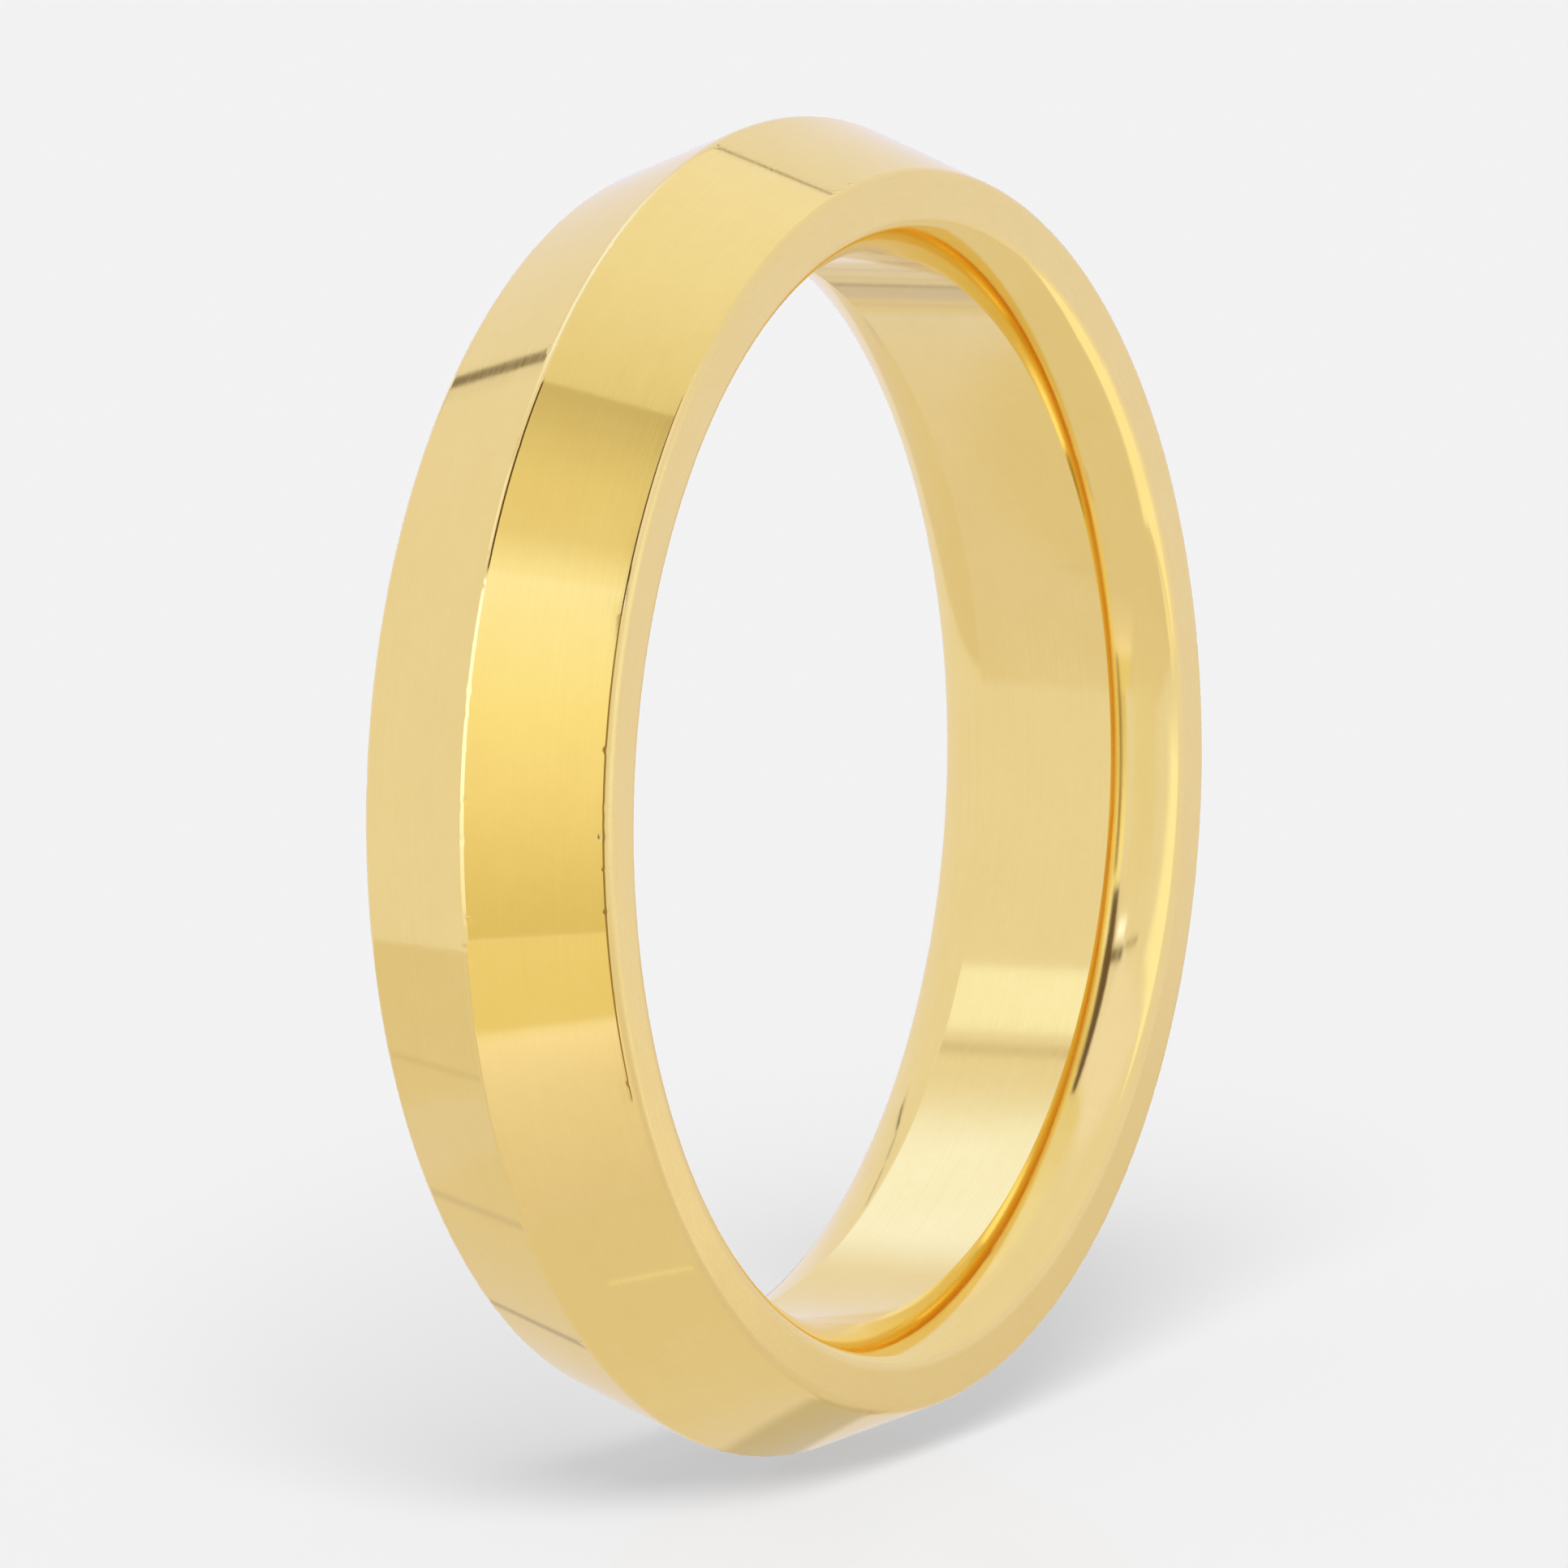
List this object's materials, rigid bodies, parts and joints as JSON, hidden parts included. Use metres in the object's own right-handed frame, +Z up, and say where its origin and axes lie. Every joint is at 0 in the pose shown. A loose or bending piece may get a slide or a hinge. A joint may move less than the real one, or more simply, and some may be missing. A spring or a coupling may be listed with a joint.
{
  "type": "wedding band",
  "caption": "Knife-edge wedding band in yellow gold, with polished flanks, satin side walls and a comfort-fit finger hole.",
  "frame": {"origin": "centre of the finger hole, midway between the side walls", "axes": "+Y along the band's axis, from one side wall to the other; +Z up with the band standing on its rim"},
  "size_m": [0.0242, 0.005, 0.0242],
  "materials": {
    "yellow_gold": "polished, with satin side walls"
  },
  "bodies": {
    "root": {"band": "yellow_gold"}
  },
  "joints": []
}
